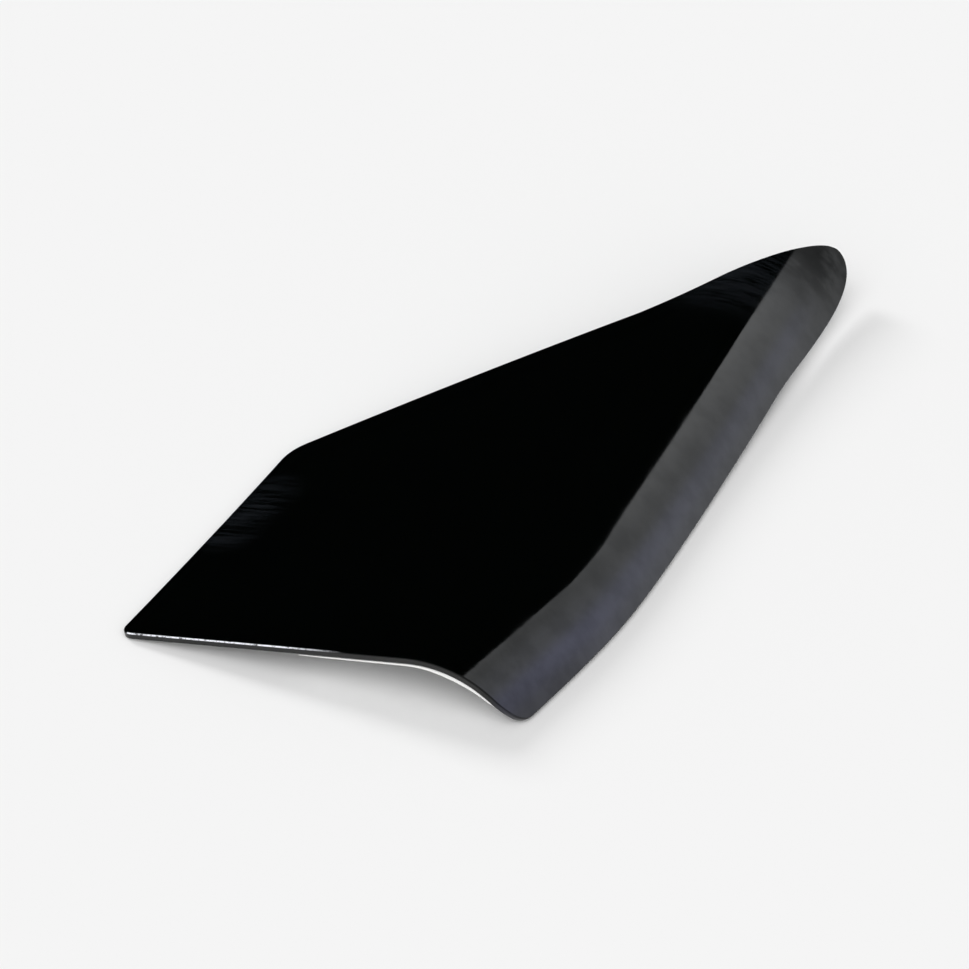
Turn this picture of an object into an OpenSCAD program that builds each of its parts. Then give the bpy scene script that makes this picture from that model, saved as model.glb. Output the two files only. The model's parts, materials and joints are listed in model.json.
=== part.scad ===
// Leaf grabber hand: a curved scooping blade that lies over the open hand. The hand goes
// between the blade and two webbing straps, and each strap is set by a cam buckle.
// +Z is up, +Y runs from the mouth edge to the tip, and the blade rests on z = 0.

/* [Blade outline] */
// Width of the straight mouth edge
mouth_w = 181; // [177:1:190]
// Distance of the side rim from the left edge, well behind the mouth
hip_x = 200; // [196:1:204]
// Outward run of the side rim for each unit of length, near the mouth
flare = 0.21; // [0.15:0.01:0.25]
// Outward run of the side rim for each unit of length, behind the hip
drift = 0.012; // [0:0.002:0.02]
// Length of the left edge
left_len = 168; // [165:1:172]
// Inward bow of the left edge
left_bow = 0.7; // [0:0.1:1.5]
// Radius of the left mouth corner
mouth_left_r = 6; // [4:1:10]
// Radius of the right mouth corner
mouth_right_r = 13; // [8:1:16]
// Radius of the left back corner
back_r = 30; // [20:1:36]
// Outward bow of the slanted edge
slant_bow = 2.9; // [1:0.1:4]
// Wide turn of the slanted edge towards the tip, across
waist_x = 149; // [147:1:151]
// Wide turn of the slanted edge towards the tip, along
waist_y = 354; // [351:1:357]
// Radius of that wide turn
waist_r = 480; // [300:20:500]
// End of the slanted edge, across
slant_x = 185; // [184:0.5:186]
// End of the slanted edge, along
slant_y = 420.5; // [418:0.5:422]
// Top of the tip, across
tip_x = 196; // [194:0.5:198]
// Top of the tip, along
tip_y = 434; // [432:0.5:440]
// How full the tip is on the rim side
tip_full = 15.6; // [12:0.2:18]
// How full the tip is on the slanted side
nose_full = 12.3; // [8:0.1:13]
// Place where the side rim starts to turn into the tip
shoulder_y = 300; // [280:5:340]

/* [Blade section] */
// Thickness of the blade
blade_t = 2.8; // [2.4:0.1:3.2]
// Slope of the panel, rising from the left edge
panel_slope = 9; // [7:0.5:11]
// Slope of the side rim, falling to the right
rim_slope = 51; // [45:1:55]
// Radius of the bend between panel and rim, at mid thickness
bend_r = 48; // [44:1:50]
// Place along the length where the blade starts to rise
lift_y = 145; // [120:5:200]
// Rise of the blade at the full length
lift_h = 13; // [8:1:20]
// Full length that the rise is measured at
full_len = 430; // [425:1:440]

/* [Edge strip] */
// Thickness of the strip under the mouth edge
strip_t = 1.0; // [0.8:0.1:1.2]
// Depth of the strip, from the mouth edge inwards
strip_depth = 12; // [10:1:16]
// Left end of the strip
strip_from = 84; // [60:1:100]
// Right end of the strip
strip_to = 174; // [150:1:175]

/* [Straps] */
// Width of the webbing
web_w = 38; // [30:1:40]
// Thickness of the webbing
web_t = 1.6; // [1.4:0.1:1.8]
// Centre of the hand strap, across
hand_x = 97; // [95:1:98]
// Centre of the hand strap, along
hand_y = 86; // [80:1:92]
// Distance from the clamp to the buckle pin, hand strap
hand_span = 88; // [84:1:88]
// Centre of the forearm strap, across
forearm_x = 113; // [111:1:115]
// Centre of the forearm strap, along
forearm_y = 222; // [216:1:228]
// Distance from the clamp to the buckle pin, forearm strap
forearm_span = 66; // [62:1:68]
// How far the slack hand strap hangs below its ends
hand_sag = 8; // [7:0.5:8.5]
// How far the slack forearm strap hangs below its ends
forearm_sag = 10; // [9:0.5:11]

/* [Hidden] */
$fn = 48;

// Places of the grid lines across and along the blade
cols_bend = 16;
cols_panel = 6;
cols = cols_bend + cols_panel;
bend_zone = 54;
row_gap = 16;
row_merge = 1.2;
row_clear = 20;
last_row = 0.25;
arc_steps = 4;
bow_steps = 6;
nose_in = 2.4;
shoulder_run = 40;

// The side rim line turns from its flare to its drift here
hip_y = 200;
hip_soft = 4;

// A cut reaches this far past what it cuts
over = 1;

// Corners and ends, as points on the plan
waist = [waist_x, waist_y];
slant_end = [slant_x, slant_y];
tip = [tip_x, tip_y];
hand_at = [hand_x, hand_y];
forearm_at = [forearm_x, forearm_y];

// Strap hardware, measured down from the underside of the blade
boss_h = 2.5;
boss_r = 4;
boss_root = 1.2;
screw_r = 1.5;
screw_hole_r = 1.65;
screw_in = 3.6;
head_r = 2.8;
head_h = 1.3;
socket_r = 1.3;
socket_deep = 0.8;
clamp_t = 1.2;
clamp_len = 13;
clamp_screw = 11;
pad_t = 3;
pad_gap = 0.4;
pad_corner = 12;
hand_pad_from = -25;
hand_pad_to = 30;
hand_pad_len = 90;
forearm_pad_from = -18;
forearm_pad_to = 19;
forearm_pad_len = 60;

// Cam buckle, with its pin across the webbing
frame_t = 1.5;
frame_front = 10;
frame_back = 9;
cheek_t = 1.5;
cheek_gap = web_w + 2;
cheek_r = 4.5;
ear_r = 4.5;
ear_at = cheek_gap / 2 + cheek_t + ear_r;
pin_r = 1.5;
pin_over_web = 4.05;
pin_down = boss_h + frame_t + web_t + pin_over_web;
pin_head_r = 2.3;
pin_head_t = 0.8;
run_gap = 0.05;
lever_gap = 0.3;
lever_len = 16;
lever_t = 2.2;
hub_r = 3.3;
cam_r = 2.4;
cam_off = 1.35;
spring_slot = 9;
spring_wire = 0.4;
spring_r = 2.4;
spring_turns = 7;
wire_fn = 16;
hex_fn = 6;
spring_leg = 7;
slot_slack = 0.2;
tab_back = 3;
tail_len = 12;
stop_len = 6;
web_clear = 1.5;
clamp_side = 2;
clamp_r = 3;
stop_t = 1.4;

// Flat landing worn along the edges that the blade rests on
landing = 0.2;

function unit(v) = v / norm(v);
function smooth_min(a, b, k) = (a + b) / 2 - sqrt(pow((a - b) / 2, 2) + k * k);

// Side rim line, seen from above
function rim_x(y) = smooth_min(mouth_w + flare * y, hip_x + drift * (y - hip_y), hip_soft);

// Points of a rounded corner at b, on the way from a to c
function fillet(a, b, c, r, n) =
    let(
        u = unit(a - b),
        v = unit(c - b),
        half = acos(u * v) / 2,
        centre = b + unit(u + v) * r / sin(half),
        start = b + u * r / tan(half) - centre,
        turn = -sign(u.x * v.y - u.y * v.x) * (180 - 2 * half)
    )
    [for (i = [0:n])
        let(w = turn * i / n)
        centre + [start.x * cos(w) - start.y * sin(w), start.x * sin(w) + start.y * cos(w)]];

// Points between a and b on a shallow bow that stands off to the right of the way there
function bowed(a, b, sag) =
    let(d = unit(b - a), off = [d.y, -d.x])
    [for (i = [1:bow_steps - 1])
        let(t = i / bow_steps)
        a + (b - a) * t + off * sag * 4 * t * (1 - t)];

// Points of a smooth curve with two end points and two guide points
function curve(a, u, v, b, n) =
    [for (i = [0:n])
        let(t = i / n, s = 1 - t)
        s * s * s * a + 3 * s * s * t * u + 3 * s * t * t * v + t * t * t * b];

// Edges from the mouth up to the tip, each with rising y
left_corner = fillet([mouth_w / 2, 0], [0, 0], [0, left_len], mouth_left_r, arc_steps);
back_corner = fillet([0, 0], [0, left_len], waist, back_r, arc_steps);
waist_turn = fillet([0, left_len], waist, slant_end, waist_r, arc_steps);
slant_way = unit(slant_end - waist);
left_edge = concat(
    left_corner,
    bowed(left_corner[arc_steps], back_corner[0], left_bow),
    back_corner,
    bowed(back_corner[arc_steps], waist_turn[0], -slant_bow),
    waist_turn,
    curve(slant_end, slant_end + slant_way * nose_full, tip - [nose_in, 0], tip, 2 * arc_steps));
mouth_corner = [rim_x(0), 0];
rim_start = [rim_x(3 * mouth_right_r), 3 * mouth_right_r];
right_corner = fillet([mouth_w / 2, 0], mouth_corner, rim_start, mouth_right_r, arc_steps);
shoulder = [rim_x(shoulder_y), shoulder_y];
tip_side = curve(shoulder, shoulder + [drift, 1] * shoulder_run, tip + [tip_full, 0], tip, 5 * arc_steps);
right_edge = concat(right_corner, tip_side);

function swapped(list) = [for (p = list) [p.y, p.x]];
left_table = swapped(left_edge);
right_table = swapped(right_edge);
function left_x(y) = lookup(y, left_table);
function right_x(y) =
    y > right_corner[arc_steps].y && y < tip_side[0].y ? rim_x(y) : lookup(y, right_table);

// Height of the blade's middle surface: panel, bend and side rim, plus the rise to the tip
function section_z(x, edge) =
    let(
        ta = tan(panel_slope),
        tb = tan(rim_slope),
        c1 = blade_t / 2 * cos(panel_slope),
        c2 = blade_t / 2 * cos(rim_slope),
        xs = (edge * tb + c2 - c1) / (ta + tb),
        run = bend_r * tan((panel_slope + rim_slope) / 2),
        xa = xs - run * cos(panel_slope),
        xb = xs + run * cos(rim_slope),
        xc = xa + bend_r * sin(panel_slope),
        zc = ta * xa + c1 - bend_r * cos(panel_slope)
    )
    x < xa ? ta * x + c1 : x > xb ? (edge - x) * tb + c2 : zc + sqrt(bend_r * bend_r - pow(x - xc, 2));
function rise(y) = lift_h * pow(max(0, y - lift_y) / (full_len - lift_y), 2);
function mid_z(x, y) = section_z(x, rim_x(y)) + rise(y) - landing;
function normal(x, y) =
    let(d = 0.05)
    unit([(mid_z(x - d, y) - mid_z(x + d, y)) / (2 * d), (mid_z(x, y - d) - mid_z(x, y + d)) / (2 * d), 1]);
function on_surface(x, y, off) = [x, y, mid_z(x, y)] + off * normal(x, y);

// Rows follow the corners and are even between them
row_marks = concat([for (p = left_edge) p.y], [for (p = right_edge) p.y]);
function merged(list, gap) =
    len(list) < 2 ? list :
    let(first = list[0], rest = [for (v = list) if (v > first + gap) v])
    concat([first], len(rest) == 0 ? [] : merged([for (v = rest) v], gap));
function sorted(list) =
    len(list) < 2 ? list :
    let(pivot = list[floor(len(list) / 2)])
    concat(sorted([for (v = list) if (v < pivot) v]), [pivot], sorted([for (v = list) if (v > pivot) v]));
even_rows = [for (y = [row_clear:row_gap:tip_y - row_clear]) y];
all_rows = sorted(concat(row_marks, even_rows));
rows = concat(merged([for (v = all_rows) if (v < tip_y - last_row - row_merge) v], row_merge),
    [tip_y - last_row]);

// Point of the grid: column 0 is the left edge, the last column is the side rim
function grid_x(j, y) =
    let(
        a = left_x(y),
        b = right_x(y),
        zone = min(bend_zone, (b - a) * cols_bend / cols)
    )
    j >= cols_panel ? b - zone * (cols - j) / cols_bend : a + (b - zone - a) * j / cols_panel;

far_right = max([for (p = tip_side) p.x]) + blade_t / 2 * sin(rim_slope);
far_left = -blade_t / 2 * sin(panel_slope);
origin = [(far_left + far_right) / 2, tip_y / 2, 0];

module plate_frame() {
    translate(-origin) children();
}

// Frame on the underside of the blade: +X along the strap, +Z down and away from the blade
module underside(at) {
    slope_y = atan((rise(at.y + 1) - rise(at.y - 1)) / 2);
    plate_frame()
        translate(on_surface(at.x, at.y, -blade_t / 2))
            rotate([slope_y, -panel_slope, 0])
                rotate([180, 0, 0])
                    children();
}

// Solid between two layers of points on the same grid, closed round its border
module layered(top, low, count, across) {
    n = len(top);
    nc = across + 1;
    last = count - 1;
    border = concat([for (j = [0:across - 1]) j],
        [for (i = [0:last - 1]) i * nc + across],
        [for (j = [across:-1:1]) last * nc + j],
        [for (i = [last:-1:1]) i * nc]);
    polyhedron(concat(top, low), concat(
        [for (i = [0:last - 1]) for (j = [0:across - 1])
            let(a = i * nc + j) each [[a, a + nc, a + nc + 1], [a, a + nc + 1, a + 1]]],
        [for (i = [0:last - 1]) for (j = [0:across - 1])
            let(a = n + i * nc + j) each [[a, a + 1, a + nc + 1], [a, a + nc + 1, a + nc]]],
        [for (k = [0:len(border) - 1])
            let(a = border[k], b = border[(k + 1) % len(border)])
            each [[a, b, n + b], [a, n + b, n + a]]]));
}

// The curved plate; its last row closes on the tip
module blade_shell() {
    top = [for (y = rows) for (j = [0:cols]) on_surface(grid_x(j, y), y, blade_t / 2)];
    low = [for (y = rows) for (j = [0:cols]) on_surface(grid_x(j, y), y, -blade_t / 2)];
    layered(top, low, len(rows), cols);
}

module bosses(at, span) {
    underside(at)
        for (side = [-1, 1]) {
            translate([-span / 2, side * clamp_screw, -boss_root])
                cylinder(r = boss_r, h = boss_h + boss_root);
            translate([span / 2, side * ear_at, -boss_root])
                cylinder(r = boss_r, h = boss_h + boss_root);
        }
}

module pilots(at, span) {
    underside(at)
        for (side = [-1, 1]) {
            translate([-span / 2, side * clamp_screw, boss_h - screw_in])
                cylinder(r = screw_r, h = screw_in + over);
            translate([span / 2, side * ear_at, boss_h - screw_in])
                cylinder(r = screw_r, h = screw_in + over);
        }
}

module blade() {
    color([0.02, 0.02, 0.022])
        difference() {
            union() {
                plate_frame() blade_shell();
                bosses(hand_at, hand_span);
                bosses(forearm_at, forearm_span);
            }
            pilots(hand_at, hand_span);
            pilots(forearm_at, forearm_span);
            translate([-hip_x, -full_len, -lift_h]) cube([2 * hip_x, 2 * full_len, lift_h]);
        }
}

// Pale strip under the mouth edge, thinner towards both ends
strip_cols = 30;
strip_gap = 0.15;
strip_front = 0.2;
strip_end = 0.35;
corner_start = mouth_corner.x - mouth_right_r;
function corner_y(x) =
    x < corner_start ? 0 : mouth_right_r - sqrt(pow(mouth_right_r, 2) - pow(x - corner_start, 2));
function strip_at(j) = strip_from + (strip_to - strip_from) * j / strip_cols;
function strip_thick(j) = strip_t * (strip_end + (1 - strip_end) * sqrt(sin(180 * j / strip_cols)));
module edge_strip() {
    steps = [0, 0.5, 1];
    under = blade_t / 2 + strip_gap;
    places = [for (t = steps) for (j = [0:strip_cols])
        let(x = strip_at(j), front = strip_front + corner_y(x))
        [x, front + (strip_depth - front) * t, strip_thick(j)]];
    color([0.8, 0.8, 0.79])
        plate_frame()
            layered([for (p = places) on_surface(p.x, p.y, -under)],
                [for (p = places) on_surface(p.x, p.y, -under - p.z)], len(steps), strip_cols);
}

// Webbing from under the clamp, slack across the hand, through the buckle to its tail
web_steps = 24;
module strap_side(span, sag) {
    from = -span / 2 - clamp_len / 2 + over;
    slack_from = -span / 2 + clamp_len / 2 + web_clear;
    slack_to = span / 2 - frame_front - over;
    up = boss_h;
    seat = boss_h + frame_t;
    path = concat([[from, up]],
        [for (i = [0:web_steps])
            let(t = i / web_steps, wave = (1 - cos(180 * t)) / 2)
            [slack_from + (slack_to - slack_from) * t,
                up + (seat - up) * wave + sag * pow(sin(180 * t), 2)]],
        [[span / 2 + tail_len, seat]]);
    far = [for (i = [len(path) - 1:-1:0]) path[i] + [0, web_t]];
    polygon(concat(path, far));
}
module strap(at, span, sag) {
    color([0.07, 0.07, 0.075])
        underside(at)
            difference() {
                translate([0, web_w / 2, 0]) rotate([90, 0, 0])
                    linear_extrude(web_w) strap_side(span, sag);
                for (side = [-1, 1])
                    translate([-span / 2, side * clamp_screw, 0])
                        cylinder(r = screw_hole_r, h = boss_h + web_t + over);
            }
}
module strap_stop(at, span) {
    color([0.09, 0.09, 0.1])
        underside(at)
            translate([span / 2 + tail_len - stop_len, -web_w / 2, boss_h + frame_t + web_t])
                cube([stop_len, web_w, stop_t]);
}

module rounded_bar(length, width, r, h) {
    linear_extrude(h)
        union() {
            square([length - 2 * r, width], center = true);
            square([length, width - 2 * r], center = true);
            for (sx = [-1, 1]) for (sy = [-1, 1])
                translate([sx * (length / 2 - r), sy * (width / 2 - r)]) circle(r);
        }
}

module clamp_plate(at, span) {
    color([0.62, 0.63, 0.64])
        underside(at)
            translate([-span / 2, 0, boss_h + web_t])
                difference() {
                    rounded_bar(clamp_len, web_w + 2 * clamp_side, clamp_r, clamp_t);
                    for (side = [-1, 1])
                        translate([0, side * clamp_screw, -over])
                            cylinder(r = screw_hole_r, h = clamp_t + 2 * over);
                }
}

module foam_pad(at, from, to, length) {
    color([0.12, 0.12, 0.13])
        underside(at)
            translate([(from + to) / 2, 0, pad_gap])
                rounded_bar(to - from, length, pad_corner, pad_t);
}

// Base plate with two ears, and a cheek on each side of the webbing
module buckle_frame(at, span) {
    color([0.62, 0.63, 0.64])
        underside(at)
            translate([span / 2, 0, 0])
                difference() {
                    union() {
                        translate([-frame_front, -cheek_gap / 2 - cheek_t, boss_h])
                            cube([frame_front + frame_back, cheek_gap + 2 * cheek_t, frame_t]);
                        for (side = [-1, 1]) {
                            translate([0, side * ear_at, boss_h]) cylinder(r = ear_r, h = frame_t);
                            translate([-ear_r, side < 0 ? -ear_at : cheek_gap / 2, boss_h])
                                cube([2 * ear_r, ear_at - cheek_gap / 2, frame_t]);
                            translate([0, side * (cheek_gap + cheek_t) / 2 - cheek_t / 2, 0])
                                cheek();
                        }
                    }
                    translate([0, cheek_gap, pin_down]) rotate([90, 0, 0])
                        cylinder(r = pin_r, h = 2 * cheek_gap);
                    for (side = [-1, 1])
                        translate([0, side * ear_at, boss_h - over])
                            cylinder(r = screw_hole_r, h = frame_t + 2 * over);
                }
}
module cheek() {
    translate([-cheek_r, 0, boss_h]) cube([2 * cheek_r, cheek_t, pin_down - boss_h]);
    translate([0, cheek_t, pin_down]) rotate([90, 0, 0]) cylinder(r = cheek_r, h = cheek_t);
}

module lever_pin(at, span) {
    reach = cheek_gap / 2 + cheek_t;
    color([0.7, 0.7, 0.71])
        underside(at)
            translate([span / 2, 0, pin_down]) rotate([90, 0, 0]) {
                translate([0, 0, -reach]) cylinder(r = pin_r, h = 2 * reach);
                for (side = [-1, 1])
                    translate([0, 0, side * (reach + pin_head_t / 2) - pin_head_t / 2])
                        cylinder(r = pin_head_r, h = pin_head_t);
            }
}

// Hub and cam on the pin, with a thumb tab; the slot in the hub holds the spring
module cam_lever(at, span) {
    width = cheek_gap - 2 * lever_gap;
    color([0.05, 0.05, 0.055])
        underside(at)
            translate([span / 2, 0, pin_down])
                difference() {
                    union() {
                        rotate([90, 0, 0]) translate([0, 0, -width / 2]) {
                            cylinder(r = hub_r, h = width);
                            translate([0, -cam_off, 0]) cylinder(r = cam_r, h = width);
                        }
                        translate([0, -width / 2, 0]) cube([lever_len - tab_back, width, lever_t]);
                        translate([lever_len - tab_back, -width / 2, lever_t / 2])
                            rotate([-90, 0, 0]) cylinder(r = lever_t / 2, h = width);
                    }
                    translate([0, width, 0]) rotate([90, 0, 0])
                        cylinder(r = pin_r + run_gap, h = 2 * width);
                    translate([-hub_r - over, -spring_slot / 2, -hub_r - over])
                        cube([2 * hub_r + over + slot_slack, spring_slot, 2 * (hub_r + over)]);
                }
}

// Coil round the pin with a leg along the thumb tab; the turns press on each other
module torsion_spring(at, span) {
    pitch = 2 * spring_wire - run_gap;
    color([0.75, 0.75, 0.76])
        underside(at)
            translate([span / 2, 0, pin_down]) {
                rotate([90, 0, 0])
                    for (i = [0:spring_turns - 1])
                        translate([0, 0, (i - (spring_turns - 1) / 2) * pitch])
                            rotate_extrude() translate([spring_r, 0]) circle(spring_wire, $fn = wire_fn);
                translate([0, 0, lever_t + spring_wire]) rotate([0, 90, 0])
                    cylinder(r = spring_wire, h = spring_leg, $fn = wire_fn);
            }
}

module screw(length) {
    difference() {
        cylinder(r = head_r, h = head_h);
        translate([0, 0, head_h - socket_deep])
            cylinder(r = socket_r, h = socket_deep + over, $fn = hex_fn);
    }
    translate([0, 0, -length]) cylinder(r = screw_r, h = length);
}
module screw_set(at, span) {
    color([0.7, 0.7, 0.71])
        underside(at)
            for (side = [-1, 1]) {
                translate([-span / 2, side * clamp_screw, boss_h + web_t + clamp_t])
                    screw(web_t + clamp_t + screw_in);
                translate([span / 2, side * ear_at, boss_h + frame_t])
                    screw(frame_t + screw_in);
            }
}

module palm_pad() { foam_pad(hand_at, hand_pad_from, hand_pad_to, hand_pad_len); }
module forearm_pad() { foam_pad(forearm_at, forearm_pad_from, forearm_pad_to, forearm_pad_len); }
module hand_clamp() { clamp_plate(hand_at, hand_span); }
module forearm_clamp() { clamp_plate(forearm_at, forearm_span); }
module hand_strap() { strap(hand_at, hand_span, hand_sag); }
module forearm_strap() { strap(forearm_at, forearm_span, forearm_sag); }
module hand_strap_end() { strap_stop(hand_at, hand_span); }
module forearm_strap_end() { strap_stop(forearm_at, forearm_span); }
module hand_buckle() { buckle_frame(hand_at, hand_span); }
module forearm_buckle() { buckle_frame(forearm_at, forearm_span); }
module hand_lever() { cam_lever(hand_at, hand_span); }
module forearm_lever() { cam_lever(forearm_at, forearm_span); }
module hand_lever_pin() { lever_pin(hand_at, hand_span); }
module forearm_lever_pin() { lever_pin(forearm_at, forearm_span); }
module hand_lever_spring() { torsion_spring(hand_at, hand_span); }
module forearm_lever_spring() { torsion_spring(forearm_at, forearm_span); }
module hand_screws() { screw_set(hand_at, hand_span); }
module forearm_screws() { screw_set(forearm_at, forearm_span); }

blade();
edge_strip();
palm_pad();
forearm_pad();
hand_clamp();
forearm_clamp();
hand_strap();
forearm_strap();
hand_strap_end();
forearm_strap_end();
hand_buckle();
forearm_buckle();
hand_lever();
forearm_lever();
hand_lever_pin();
forearm_lever_pin();
hand_lever_spring();
forearm_lever_spring();
hand_screws();
forearm_screws();
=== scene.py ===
"""Leaf grabber hand: a glossy black curved blade on a pale floor, with pads, webbing straps and
cam buckles on its underside. Plan lengths are in millimetres and become metres in the row frame."""
import json
import math

import bpy
import numpy as np
from mathutils import Matrix, Vector
from mathutils.geometry import delaunay_2d_cdt


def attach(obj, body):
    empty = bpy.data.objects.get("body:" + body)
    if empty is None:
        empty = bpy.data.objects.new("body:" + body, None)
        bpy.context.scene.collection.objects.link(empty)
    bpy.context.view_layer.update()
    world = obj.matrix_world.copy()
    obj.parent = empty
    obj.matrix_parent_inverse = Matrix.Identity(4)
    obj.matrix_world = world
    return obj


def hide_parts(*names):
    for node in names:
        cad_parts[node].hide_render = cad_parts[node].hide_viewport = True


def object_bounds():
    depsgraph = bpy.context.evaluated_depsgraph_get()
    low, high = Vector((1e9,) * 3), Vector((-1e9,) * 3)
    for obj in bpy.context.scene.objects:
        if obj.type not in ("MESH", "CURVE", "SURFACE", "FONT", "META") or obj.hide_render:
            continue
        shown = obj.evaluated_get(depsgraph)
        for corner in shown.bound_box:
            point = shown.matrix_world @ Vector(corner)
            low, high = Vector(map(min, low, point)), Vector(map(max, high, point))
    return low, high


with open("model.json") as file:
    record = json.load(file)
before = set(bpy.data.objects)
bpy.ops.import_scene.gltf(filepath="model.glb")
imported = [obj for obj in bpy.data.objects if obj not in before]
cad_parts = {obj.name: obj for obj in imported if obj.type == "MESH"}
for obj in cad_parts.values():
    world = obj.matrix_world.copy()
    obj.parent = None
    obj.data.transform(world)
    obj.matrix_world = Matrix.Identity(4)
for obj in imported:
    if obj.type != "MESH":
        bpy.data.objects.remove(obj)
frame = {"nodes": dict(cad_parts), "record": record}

CAD_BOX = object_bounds()
MM = 0.001

# ---------------------------------------------------------------- camera
CAMERA_TURN = 21.85
CAMERA_HEIGHT = 30.71
CAMERA_FAR = 1.1637
CAMERA_FIELD = 22.0
AIM_SIDE = -0.0065
AIM_ALONG = -0.0415
SENSOR = 36.0


def make_camera():
    """A camera turned and raised about a point on the floor."""
    centre = (CAD_BOX[0] + CAD_BOX[1]) / 2
    aim = Vector((centre.x + AIM_SIDE, centre.y + AIM_ALONG, 0))
    turn, high = math.radians(CAMERA_TURN), math.radians(CAMERA_HEIGHT)
    back = Vector((math.sin(turn) * math.cos(high), -math.cos(turn) * math.cos(high), math.sin(high)))
    data = bpy.data.cameras.new("camera")
    data.sensor_width = SENSOR
    data.lens = SENSOR / 2 / math.tan(math.radians(CAMERA_FIELD / 2))
    data.dof.use_dof = False
    data.clip_start, data.clip_end = 0.01, 100
    camera = bpy.data.objects.new("camera", data)
    camera.location = aim + back * CAMERA_FAR
    camera.rotation_mode = "QUATERNION"
    camera.rotation_quaternion = (-back).to_track_quat("-Z", "Y")
    bpy.context.scene.collection.objects.link(camera)
    bpy.context.scene.camera = camera


make_camera()

# ---------------------------------------------------------------- the blade's form, as in the CAD
MOUTH_W, HIP_X, FLARE, DRIFT = 181, 200, 0.21, 0.012
HIP_Y, HIP_SOFT = 200, 4
LEFT_LEN, LEFT_BOW, SLANT_BOW = 168, 0.7, 2.9
MOUTH_LEFT_R, MOUTH_RIGHT_R, BACK_R, WAIST_R = 6, 13, 30, 480
WAIST, SLANT_END, TIP = (149, 354), (185, 420.5), (196, 434)
TIP_FULL, NOSE_FULL, NOSE_IN = 15.6, 12.3, 2.4
SHOULDER_Y, SHOULDER_RUN = 300, 40
THICK = 2.8
PANEL_SLOPE, RIM_SLOPE = math.radians(9), math.radians(51)
BEND_R = 48
LIFT_Y, LIFT_H, FULL_LEN = 145, 13, 430
LANDING = 0.2
SLOPE_STEP = 0.05


def smooth_min(a, b, k):
    return (a + b) / 2 - math.sqrt(((a - b) / 2) ** 2 + k * k)


def rim_x(y):
    return smooth_min(MOUTH_W + FLARE * y, HIP_X + DRIFT * (y - HIP_Y), HIP_SOFT)


def section_z(x, edge):
    ta, tb = math.tan(PANEL_SLOPE), math.tan(RIM_SLOPE)
    c1, c2 = THICK / 2 * math.cos(PANEL_SLOPE), THICK / 2 * math.cos(RIM_SLOPE)
    xs = (edge * tb + c2 - c1) / (ta + tb)
    run = BEND_R * math.tan((PANEL_SLOPE + RIM_SLOPE) / 2)
    xa, xb = xs - run * math.cos(PANEL_SLOPE), xs + run * math.cos(RIM_SLOPE)
    xc = xa + BEND_R * math.sin(PANEL_SLOPE)
    zc = ta * xa + c1 - BEND_R * math.cos(PANEL_SLOPE)
    if x < xa:
        return ta * x + c1
    if x > xb:
        return (edge - x) * tb + c2
    return zc + math.sqrt(BEND_R ** 2 - (x - xc) ** 2)


def rise(y):
    return LIFT_H * (max(0, y - LIFT_Y) / (FULL_LEN - LIFT_Y)) ** 2


def mid_z(x, y):
    return section_z(x, rim_x(y)) + rise(y) - LANDING


def normal(x, y):
    d = SLOPE_STEP
    return Vector(((mid_z(x - d, y) - mid_z(x + d, y)) / (2 * d),
                   (mid_z(x, y - d) - mid_z(x, y + d)) / (2 * d), 1)).normalized()


def on_surface(x, y, off):
    return Vector((x, y, mid_z(x, y))) + off * normal(x, y)


def fillet(a, b, c, r, n):
    """Points of a rounded corner of radius r at b, on the way from a to c."""
    a, b, c = Vector(a), Vector(b), Vector(c)
    u, v = (a - b).normalized(), (c - b).normalized()
    half = math.acos(u.dot(v)) / 2
    centre = b + (u + v).normalized() * r / math.sin(half)
    start = b + u * r / math.tan(half) - centre
    side = -math.copysign(1, u.x * v.y - u.y * v.x)
    turn = side * (math.pi - 2 * half)
    return [centre + Matrix.Rotation(turn * i / n, 2) @ start for i in range(n + 1)]


def bowed(a, b, sag, n=24):
    """Points between a and b on a shallow bow that stands off to the right of the way there."""
    way = (b - a).normalized()
    off = Vector((way.y, -way.x))
    return [a.lerp(b, k / n) + off * sag * 4 * (k / n) * (1 - k / n) for k in range(1, n)]


def curve(a, u, v, b, n):
    """Points of a smooth curve with two end points and two guide points."""
    a, u, v, b = Vector(a), Vector(u), Vector(v), Vector(b)
    return [(1 - t) ** 3 * a + 3 * (1 - t) ** 2 * t * u + 3 * (1 - t) * t * t * v + t ** 3 * b
            for t in (k / n for k in range(n + 1))]


CAD_TIP_STEPS = 20


def tip_side(n):
    shoulder = (rim_x(SHOULDER_Y), SHOULDER_Y)
    guide = (shoulder[0] + DRIFT * SHOULDER_RUN, SHOULDER_Y + SHOULDER_RUN)
    return curve(shoulder, guide, (TIP[0] + TIP_FULL, TIP[1]), TIP, n)


FAR_RIGHT = max(p.x for p in tip_side(CAD_TIP_STEPS)) + THICK / 2 * math.sin(RIM_SLOPE)
FAR_LEFT = -THICK / 2 * math.sin(PANEL_SLOPE)
ORIGIN = Vector(((FAR_LEFT + FAR_RIGHT) / 2, TIP[1] / 2, 0))


def row(p):
    """A point of the plan, in millimetres, in the row frame in metres."""
    return (Vector(p) - ORIGIN) * MM


def underside(at):
    """Matrix of the frame on the blade's underside: +X along the strap, +Z down."""
    slope_y = math.atan((rise(at[1] + 1) - rise(at[1] - 1)) / 2)
    place = row(on_surface(at[0], at[1], -THICK / 2))
    return (Matrix.Translation(place) @ Matrix.Rotation(-PANEL_SLOPE, 4, "Y")
            @ Matrix.Rotation(slope_y, 4, "X") @ Matrix.Rotation(math.pi, 4, "X"))


# ---------------------------------------------------------------- node helpers
def add(tree, kind, inputs=None, **props):
    """A shader node; inputs are sockets to link or values to set."""
    n = tree.nodes.new(kind)
    for key, value in props.items():
        setattr(n, key, value)
    for key, value in (inputs or {}).items():
        if isinstance(value, bpy.types.NodeSocket):
            tree.links.new(value, n.inputs[key])
        else:
            n.inputs[key].default_value = value
    return n


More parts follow.
